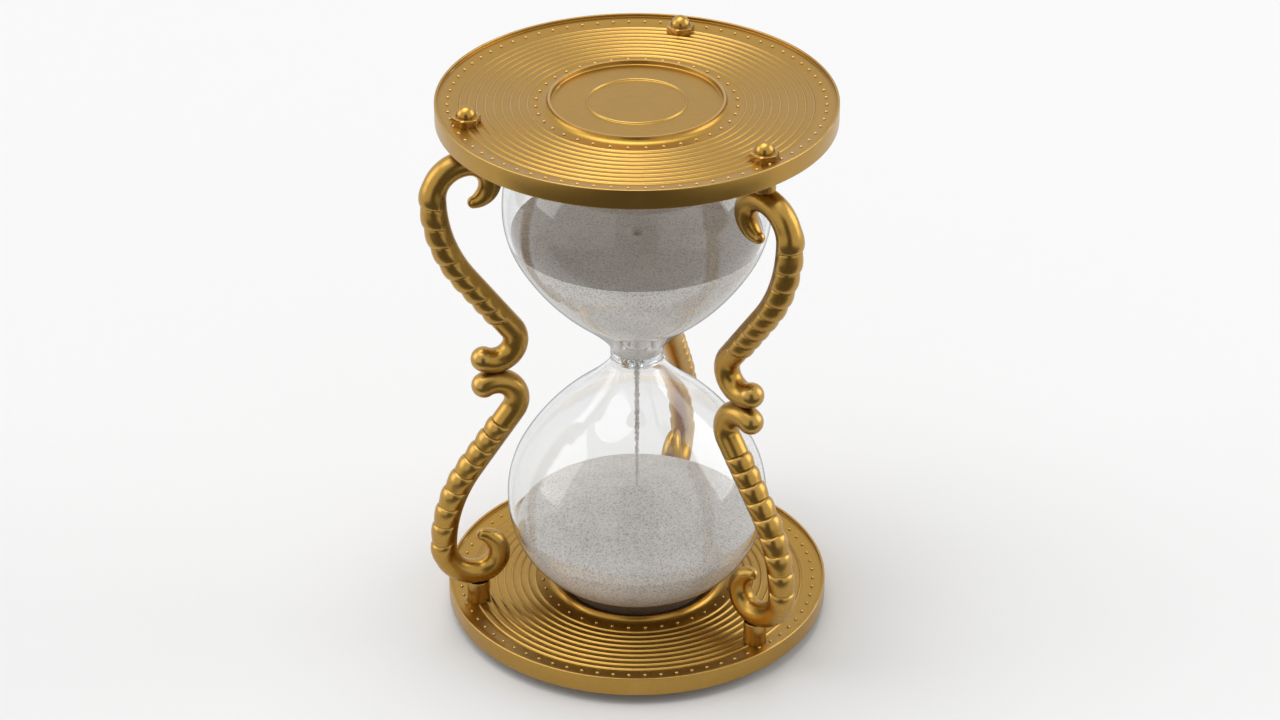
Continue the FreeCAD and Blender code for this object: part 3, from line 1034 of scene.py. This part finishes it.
class HOURGLASS_OT_posts(bpy.types.Operator):
    """Turn one post with its stud and spigot, then copy it to the other five places"""

    bl_idname = "hourglass.posts"
    bl_label = "Posts"

    def execute(self, context):
        c = context.scene.hourglass_columns
        recess = context.scene.hourglass_plates.recess
        face = PLATE_HIGH.z - recess
        seat = face + c.seat_above_face
        at = COLUMN_RADIUS
        low, high = POST_LOW.z, POST_HIGH.z
        soft = c.post_round
        outline = rounded([
            (at, low, 0), (at + c.stud_radius, low, 0.2 * MM), (at + c.stud_radius, face, 0),
            (at + c.post_radius, face, 0.1 * MM), (at + c.post_radius, seat, soft),
            (at + c.spigot_radius, seat, 0), (at + c.spigot_radius, high, 0.2 * MM), (at, high, 0),
        ])
        post = lathe("post", outline, 48, across=at)
        brass = bpy.data.materials["Post brass"]
        for half, mirrored in (("lower", False), ("upper", True)):
            for number, angle in enumerate(COLUMN_ANGLES, start=1):
                made = copy(post, f"post_{half}_{number}", angle, mirrored)
                smooth(made)
                put_on(made, f"{half}_post_{number}", brass)
        bpy.data.objects.remove(post)
        return {"FINISHED"}


class HOURGLASS_OT_nuts(bpy.types.Operator):
    """Turn one cap nut, mill its six flats, then copy it to the other five places"""

    bl_idname = "hourglass.nuts"
    bl_label = "Cap nuts"

    def execute(self, context):
        n = context.scene.hourglass_nuts
        face = PLATE_LOW.z + context.scene.hourglass_plates.recess
        at = COLUMN_RADIUS
        corner = n.across_flats / math.sqrt(3)
        hex_low = face - n.hex_height
        dome = (at, face - n.height + n.dome_radius)
        lowest = -math.pi / 2
        meets = math.asin(max(-1.0, min(1.0, (hex_low - dome[1]) / n.dome_radius)))
        outline = [Vector(p) for p in (
            (at, face - n.bore_depth), (at + n.bore_radius, face - n.bore_depth),
            (at + n.bore_radius, face - 0.3 * MM), (at + n.bore_radius + 0.3 * MM, face),
            (at + corner - 0.15 * MM, face), (at + corner, face - 0.15 * MM),
            (at + corner, hex_low + n.chamfer * 0.5), (at + corner - n.chamfer, hex_low),
        )]
        outline += arc_points(dome, n.dome_radius, meets, lowest, 18)
        nut = lathe("nut", outline, 72, across=at)
        edit(nut)
        for i in range(6):
            away = math.radians(60 * i + 30)
            normal = Vector((math.cos(away), math.sin(away), 0))
            bpy.ops.mesh.select_all(action="SELECT")
            bpy.ops.mesh.bisect(
                plane_co=Vector((at, 0, 0)) + normal * (n.across_flats / 2), plane_no=normal,
                use_fill=True, clear_outer=True,
            )
        leave()
        soften = nut.modifiers.new("soften", "BEVEL")
        soften.width = n.edge_round
        soften.segments = 2
        soften.limit_method = "ANGLE"
        soften.angle_limit = math.radians(35)
        only(nut)
        bpy.ops.object.modifier_apply(modifier=soften.name)
        tidy(nut)
        brass = bpy.data.materials["Nut brass"]
        for place, mirrored in (("bottom", False), ("top", True)):
            for number, angle in enumerate(COLUMN_ANGLES, start=1):
                made = copy(nut, f"nut_{place}_{number}", angle, mirrored)
                smooth(made, 32)
                put_on(made, f"{place}_cap_nut_{number}", brass)
        bpy.data.objects.remove(nut)
        return {"FINISHED"}


class HOURGLASS_OT_dowels(bpy.types.Operator):
    """Give the dowels between the hooks their steel"""

    bl_idname = "hourglass.dowels"
    bl_label = "Dowels"

    def execute(self, context):
        for number in (1, 2, 3):
            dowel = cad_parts[f"scroll_dowel_{number}"]
            for place in dowel.material_slots:
                place.material = bpy.data.materials["Plain steel"]
        return {"FINISHED"}


# ---- Glass ----

BASE_STEPS = 44
THROAT_STEPS = 26


def bulb_outline(g, inset):
    """The lower bulb's outline moved inwards by inset, from its pole to its neck."""
    equator = PLATE_LOW.z + g.equator_above_rim
    base = Vector((g.bulb_radius - g.base_arc, equator))
    shoulder = Vector((g.bulb_radius - g.shoulder_arc, equator))
    cone = on_arc(shoulder, g.shoulder_arc - g.cone_arc, g.shoulder_turn)
    cone_end = on_arc(cone, g.cone_arc, g.cone_turn)
    neck = Vector((g.neck_radius, MID_HEIGHT - g.collar_height / 2 - g.fuse_gap))
    pull = Vector((neck.x, cone_end.y + (cone_end.x - neck.x) / math.tan(g.cone_turn)))
    points = [Vector((0, equator - g.base_arc + inset))]
    deep = g.base_arc - inset
    power = 2 / g.base_fullness
    for i in range(BASE_STEPS + 1):
        angle = math.pi / 2 * i / BASE_STEPS
        points.append(base + deep * Vector((math.sin(angle) ** power, -(math.cos(angle) ** power))))
    for centre, radius, start, end, steps in (
        (shoulder, g.shoulder_arc - inset, 0, g.shoulder_turn, 10),
        (cone, g.cone_arc - inset, g.shoulder_turn, g.cone_turn, 18),
    ):
        points += arc_points(centre, radius, start, end, steps)[1:]
    for i in range(1, THROAT_STEPS + 1):
        t = i / THROAT_STEPS
        place = cone_end * (1 - t) ** 2 + pull * (2 * t * (1 - t)) + neck * t ** 2
        along = ((pull - cone_end) * (1 - t) + (neck - pull) * t).normalized()
        thicker = 1 + (g.collar_wall / g.wall - 1) * t ** 4
        points.append(place - Vector((along.y, -along.x)) * inset * thicker)
    return points


class HOURGLASS_OT_bulbs(bpy.types.Operator):
    """Blow the lower bulb and mirror it for the upper one"""

    bl_idname = "hourglass.bulbs"
    bl_label = "Bulbs"

    def execute(self, context):
        g = context.scene.hourglass_glass
        outline = bulb_outline(g, 0) + bulb_outline(g, g.wall)[::-1]
        bulb = lathe("bulb_lower", outline, 160)
        smooth(bulb)
        upper = copy(bulb, "bulb_upper", mirrored=True)
        smooth(upper)
        glass = bpy.data.materials["Blown glass"]
        put_on(bulb, "lower_bulb", glass)
        put_on(upper, "upper_bulb", glass)
        return {"FINISHED"}


class HOURGLASS_OT_neck(bpy.types.Operator):
    """Make the clear collar between the bulbs, and the orifice disc in it"""

    bl_idname = "hourglass.neck"
    bl_label = "Neck"

    def execute(self, context):
        g = context.scene.hourglass_glass
        half = g.collar_height / 2
        low, high = MID_HEIGHT - half, MID_HEIGHT + half
        inner, outer = g.neck_radius - g.collar_wall, g.neck_radius
        soft = 0.2 * MM
        ring = rounded([
            (inner, MID_HEIGHT, 0), (inner, low, 0.25 * MM), (outer, low, soft), (outer, MID_HEIGHT, 0),
            (outer, high, soft), (inner, high, 0.25 * MM), (inner, MID_HEIGHT, 0),
        ])[:-1]
        collar = lathe("collar", ring, 128, closed=True)
        smooth(collar, 50)
        put_on(collar, "neck_collar", bpy.data.materials["Blown glass"])
        low, high = MID_HEIGHT - g.disc_height / 2, MID_HEIGHT + g.disc_height / 2
        inner, outer = g.orifice_radius, inner - 0.05 * MM
        disc = rounded([
            (inner, MID_HEIGHT, 0), (inner, low, 0.2 * MM), (outer, low, 0.2 * MM), (outer, MID_HEIGHT, 0),
            (outer, high, 0.2 * MM), (inner, high, 0.2 * MM), (inner, MID_HEIGHT, 0),
        ])[:-1]
        plug_disc = lathe("orifice", disc, 64, closed=True)
        smooth(plug_disc, 50)
        put_on(plug_disc, "orifice_disc", bpy.data.materials["Blown glass"])
        return {"FINISHED"}


class HOURGLASS_OT_pads(bpy.types.Operator):
    """Press the felt seat under the lower bulb and mirror it for the upper one"""

    bl_idname = "hourglass.pads"
    bl_label = "Seat pads"

    def execute(self, context):
        g = context.scene.hourglass_glass
        p = context.scene.hourglass_plates
        floor = PLATE_HIGH.z - p.pan_depth
        dish = [
            point for point in bulb_outline(g, -CLEARANCE)
            if g.pad_inner <= point.x <= g.pad_outer and point.y < PLATE_LOW.z + g.equator_above_rim
        ]
        outline = [Vector(corner) for corner in (
            (g.pad_inner, floor), (g.pad_outer - 0.2 * MM, floor), (g.pad_outer, floor + 0.3 * MM),
            (g.pad_outer, dish[-1].y - 0.4 * MM),
        )] + dish[::-1]
        pad = lathe("pad_lower", outline, 96, closed=True)
        smooth(pad, 45)
        upper = copy(pad, "pad_upper", mirrored=True)
        smooth(upper, 45)
        cloth = bpy.data.materials["Felt and painted shade"]
        put_on(pad, "lower_seat_pad", cloth)
        put_on(upper, "upper_seat_pad", cloth)
        return {"FINISHED"}


# ---- Sand ----

CLEARANCE = 0.06 * MM
HEAP_RINGS = 60
CRATER_RINGS = 24
PIT_SHARE = 0.65
STREAM_LINKS = 110


def radius_at(outline, height):
    """The outline's radius at a height."""
    for lower, upper in zip(outline, outline[1:]):
        if lower.y <= height <= upper.y and upper.y > lower.y:
            return lower.x + (upper.x - lower.x) * (height - lower.y) / (upper.y - lower.y)
    raise RuntimeError("the height is outside the bulb")


def roughen(piece, size, keep, seed):
    """Moves each point a little, as loose grains lie; keep says how much of the move a point gets."""
    chance = random.Random(seed)
    for vertex in piece.data.vertices:
        push = Vector([chance.uniform(-size, size) for _ in range(3)])
        vertex.co += push * keep(vertex.co)


class HOURGLASS_OT_sand(bpy.types.Operator):
    """Pour the heap, the reserve and the stream"""

    bl_idname = "hourglass.sand"
    bl_label = "Sand"

    def execute(self, context):
        s = context.scene.hourglass_sand
        g = context.scene.hourglass_glass
        grain = bpy.data.materials["Pale sand"]
        inside = bulb_outline(g, g.wall - s.contact)
        line = PLATE_LOW.z + s.line_above_rim
        edge = radius_at(inside, line)
        top = line + s.heap_rise
        below = [point for point in inside if point.y < line - 0.2 * MM] + [Vector((edge, line))]
        slope = []
        for i in range(1, HEAP_RINGS + 1):
            share = i / HEAP_RINGS
            hump = math.sin(math.pi * share) * 0.5 * MM
            slope.append(Vector((edge * (1 - share), line + (top - line) * share + hump)))
        heap = lathe("heap", below + slope, 160)
        smooth(heap, 60)
        put_on(heap, "sand_lower", grain)

        level = 2 * MID_HEIGHT - (PLATE_LOW.z + s.reserve_drop)
        floor = MID_HEIGHT + g.disc_height / 2 + CLEARANCE
        flipped = [Vector((point.x, 2 * MID_HEIGHT - point.y)) for point in reversed(inside)]
        outline = [Vector((0, floor)), Vector((radius_at(flipped, floor), floor))]
        outline += [point for point in flipped if floor + 0.1 * MM < point.y < level - 0.2 * MM]
        brim = radius_at(flipped, level)
        outline += level_run(brim, s.crater_radius, level, 30)
        for i in range(1, CRATER_RINGS + 1):
            share = 1 - i / CRATER_RINGS
            pit = math.exp(-((share * s.crater_radius / s.pit_radius) ** 2))
            slope = (1 - PIT_SHARE) * (1 - share) ** 2 + PIT_SHARE * pit
            outline.append(Vector((s.crater_radius * share, level - s.crater_depth * slope)))
        reserve = lathe("reserve", outline, 160)
        smooth(reserve, 60)
        put_on(reserve, "sand_upper", grain)

        low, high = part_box("sand_stream")[0].z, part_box("sand_stream")[1].z
        deselect()
        bpy.ops.mesh.primitive_circle_add(
            vertices=10, radius=s.stream_radius, fill_type="NGON", location=(0, 0, low)
        )
        stream = named("stream")
        apply_place(stream)
        edit(stream)
        link = (0, 0, (high - low) / STREAM_LINKS)
        for _ in range(STREAM_LINKS):
            bpy.ops.mesh.extrude_region_move(TRANSFORM_OT_translate={"value": link})
        leave()
        tidy(stream)
        chance = random.Random(7)
        sway = [chance.uniform(0.62, 1.3) for _ in range(STREAM_LINKS + 2)]
        for vertex in stream.data.vertices:
            share = (vertex.co.z - low) / (high - low)
            ring = round(share * STREAM_LINKS)
            thin = (0.72 + 0.28 * share) * sway[ring]
            vertex.co.x *= thin
            vertex.co.y *= thin
        roughen(stream, 0.2 * MM, lambda co: 1.0 if low + MM < co.z < high - 2 * MM else 0.0, 3)
        smooth(stream, 60)
        put_on(stream, "sand_stream", grain)
        return {"FINISHED"}


# ---- Finishes and stage ----

class HOURGLASS_OT_finishes(bpy.types.Operator):
    """Mix the brass, steel, glass, felt and sand"""

    bl_idname = "hourglass.finishes"
    bl_label = "Finishes"

    def execute(self, context):
        f = context.scene.hourglass_finishes
        metal_skin_group()
        brass = (f.brass, f.brass_shade, f.brass_wear)
        metal("Turned brass", *brass, roughness=0.29, grain_depth=0.004, patchiness=0.10,
              recess_reach=1.6, recess_shade=0.45)
        metal("Cast brass", *brass, roughness=0.28, grain_depth=0.0006, patchiness=0.05)
        metal("Post brass", *brass, roughness=0.30, grain_depth=0.004, patchiness=0.2)
        metal("Nut brass", *brass, roughness=0.24, grain_depth=0.0006, patchiness=0.05)
        metal("Plain steel", f.steel, f.steel, f.steel, roughness=0.35, recess_shade=0.3)
        clear_glass("Blown glass", f.glass)
        # The seats are felt, and their dark tone is partly painted shade for the gap under each bulb.
        felt("Felt and painted shade", f.felt)
        grains("Pale sand", f.sand, f.sand_dark)
        plain_floor("Pale floor", f.floor)
        return {"FINISHED"}


KEY_FROM = (178, 73)  # azimuth and elevation in degrees
KEY_DISTANCE = 3.0
BOX_DISTANCE = 5.0
BOX_SIZE = 3.4
CARD_TONE = (0.13, 0.12, 0.11, 1)


def look_from(azimuth, elevation, distance, target):
    """A lamp's place and turn, so that it shines on target from a direction, in degrees."""
    a, e = math.radians(azimuth), math.radians(elevation)
    away = Vector((math.cos(a) * math.cos(e), math.sin(a) * math.cos(e), math.sin(e)))
    return target + away * distance, away.to_track_quat("Z", "Y").to_euler()


class HOURGLASS_OT_stage(bpy.types.Operator):
    """Set up the floor, the dark card in front, the lamps, the white surroundings and the camera"""

    bl_idname = "hourglass.stage"
    bl_label = "Stage"

    def execute(self, context):
        s = context.scene.hourglass_stage
        scene = context.scene
        deselect()
        bpy.ops.mesh.primitive_plane_add(size=14, location=(0, 0, 0))
        floor = named("floor")
        floor.data.materials.append(bpy.data.materials["Pale floor"])

        target = Vector((0, 0, MID_HEIGHT))
        deselect()
        place, facing = look_from(*KEY_FROM, KEY_DISTANCE, target)
        bpy.ops.object.light_add(type="SUN", location=place, rotation=facing)
        key = bpy.context.active_object
        key.name = "key"
        key.data.energy = s.key
        key.data.angle = s.key_spread
        for name, azimuth, elevation, power in (
            ("left box", 178, 22, s.left_power), ("right box", 8, 24, s.right_power),
            ("top box", 90, 80, s.top_power),
        ):
            deselect()
            place, facing = look_from(azimuth, elevation, BOX_DISTANCE, target)
            bpy.ops.object.light_add(type="AREA", location=place, rotation=facing)
            lamp = bpy.context.active_object
            lamp.name = name
            lamp.data.shape = "SQUARE"
            lamp.data.size = BOX_SIZE
            lamp.data.energy = power

        card_from, card_to, card_half, card_top, card_level = -0.11, -1.3, 0.42, 1.1, 0.0008
        deselect()
        bpy.ops.mesh.primitive_plane_add(size=1)
        card = named("card")
        card.scale = (2 * card_half, card_from - card_to, 1)
        card.location = (0, (card_from + card_to) / 2, card_level)
        apply_place(card)
        edit(card)
        bpy.ops.mesh.select_all(action="DESELECT")
        leave()
        for vertex in card.data.vertices:
            vertex.select = vertex.co.y < (card_from + card_to) / 2
        for e in card.data.edges:
            e.select = all(card.data.vertices[v].select for v in e.vertices)
        only(card)
        bpy.ops.object.mode_set(mode="EDIT")
        bpy.ops.mesh.extrude_region_move(TRANSFORM_OT_translate={"value": (0, 0, card_top)})
        leave()
        material, tree, out = new_material("Dark card")
        shader = add(tree, "BsdfPrincipled", Base_Color=CARD_TONE, Roughness=1.0,
                     Specular_IOR_Level=0.0)
        tree.links.new(shader.outputs["BSDF"], out.inputs["Surface"])
        card.data.materials.append(material)
        card.visible_camera = False
        card.visible_diffuse = False
        card.visible_transmission = False
        card.visible_shadow = False

        world = bpy.data.worlds.new("white surroundings")
        scene.world = world
        world.use_nodes = True
        tree = world.node_tree
        tree.nodes.clear()
        path = add(tree, "LightPath")
        seen = calculate(tree, "MAXIMUM", path.outputs["Is Camera Ray"], path.outputs["Is Glossy Ray"])
        seen = calculate(tree, "MAXIMUM", seen, path.outputs["Is Transmission Ray"])
        strength = blend(tree, seen, s.sky, s.sky_seen, kind="FLOAT")
        light = add(tree, "Background", Color=(1, 1, 1, 1), Strength=strength)
        out = tree.nodes.new("ShaderNodeOutputWorld")
        tree.links.new(light.outputs["Background"], out.inputs["Surface"])

        deselect()
        bpy.ops.object.camera_add(
            location=(0, -s.camera_distance, s.camera_height), rotation=(s.camera_tilt, 0, 0)
        )
        camera = bpy.context.active_object
        camera.name = "camera"
        camera.data.sensor_width = 36
        camera.data.lens = s.focal_length
        camera.data.shift_x = s.shift
        scene.camera = camera
        scene.view_settings.view_transform = "Standard"
        return {"FINISHED"}


# ---- Panel and start ----

OPERATORS = (
    HOURGLASS_OT_finishes, HOURGLASS_OT_plates, HOURGLASS_OT_scrolls, HOURGLASS_OT_posts,
    HOURGLASS_OT_nuts, HOURGLASS_OT_dowels, HOURGLASS_OT_bulbs, HOURGLASS_OT_neck,
    HOURGLASS_OT_pads, HOURGLASS_OT_sand, HOURGLASS_OT_stage,
)
SETTINGS = {
    "hourglass_plates": PlateSizes, "hourglass_columns": ColumnSizes, "hourglass_nuts": NutSizes,
    "hourglass_glass": GlassSizes, "hourglass_sand": SandSizes, "hourglass_finishes": Finishes,
    "hourglass_stage": StageSettings,
}


class HOURGLASS_PT_panel(bpy.types.Panel):
    """Lists the pieces and their sizes"""

    bl_label = "Hourglass"
    bl_idname = "HOURGLASS_PT_panel"
    bl_space_type = "VIEW_3D"
    bl_region_type = "UI"
    bl_category = "Hourglass"

    def draw(self, context):
        for operator in OPERATORS:
            self.layout.operator(operator.bl_idname)
        for name, kind in SETTINGS.items():
            box = self.layout.box()
            box.label(text=kind.__doc__)
            for key in kind.__annotations__:
                box.prop(getattr(context.scene, name), key)


def register():
    for kind in SETTINGS.values():
        bpy.utils.register_class(kind)
    for name, kind in SETTINGS.items():
        setattr(bpy.types.Scene, name, PointerProperty(type=kind))
    for operator in OPERATORS:
        bpy.utils.register_class(operator)
    bpy.utils.register_class(HOURGLASS_PT_panel)


def unregister():
    bpy.utils.unregister_class(HOURGLASS_PT_panel)
    for operator in reversed(OPERATORS):
        bpy.utils.unregister_class(operator)
    for name, kind in SETTINGS.items():
        delattr(bpy.types.Scene, name)
        bpy.utils.unregister_class(kind)


def main():
    register()
    for operator in OPERATORS:
        family, action = operator.bl_idname.split(".")
        getattr(getattr(bpy.ops, family), action)()


if __name__ == "__main__":
    main()
